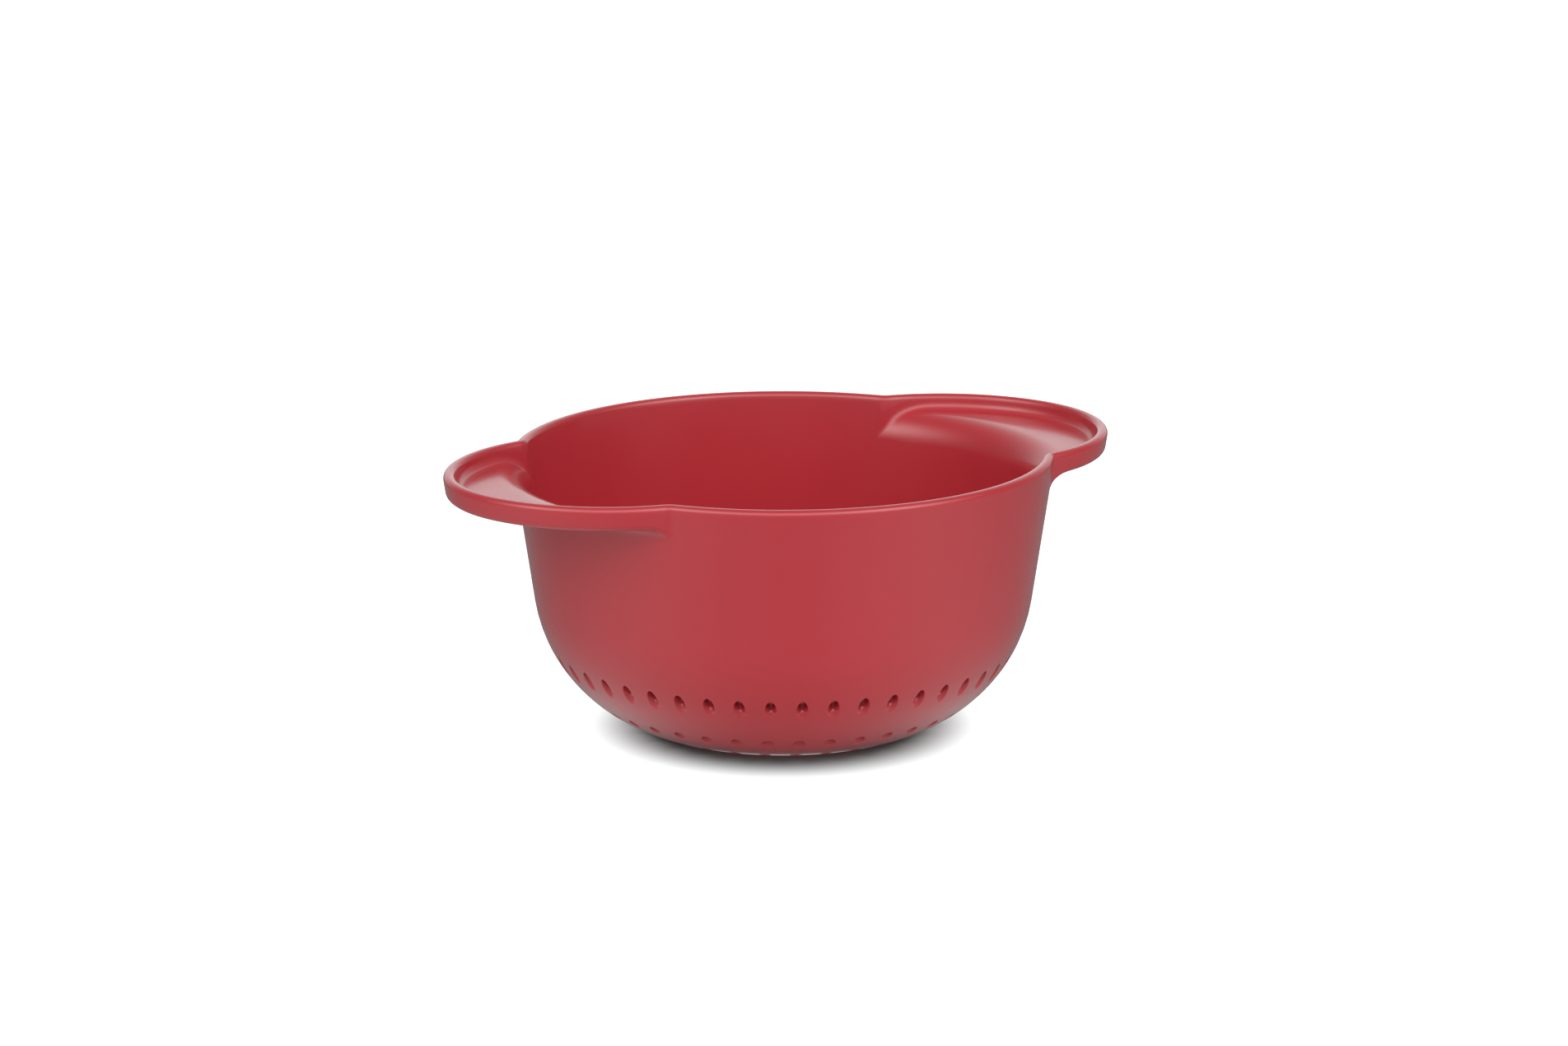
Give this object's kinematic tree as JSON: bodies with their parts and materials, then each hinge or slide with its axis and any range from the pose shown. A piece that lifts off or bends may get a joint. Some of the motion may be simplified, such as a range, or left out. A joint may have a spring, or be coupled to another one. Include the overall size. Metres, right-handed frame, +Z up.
{
  "type": "colander",
  "caption": "Glossy red moulded plastic colander with a deep round bowl, two dished lug handles and rings of drain holes in its base.",
  "frame": {"origin": "centre of the flat base, on the surface that the colander stands on", "axes": "+Z up along the axis of the bowl, +X along the line through both handles, +Y across"},
  "size_m": [0.27, 0.204, 0.106],
  "materials": {
    "red_plastic": "glossy injection-moulded plastic"
  },
  "bodies": {
    "root": {"colander": "red_plastic"}
  },
  "joints": []
}
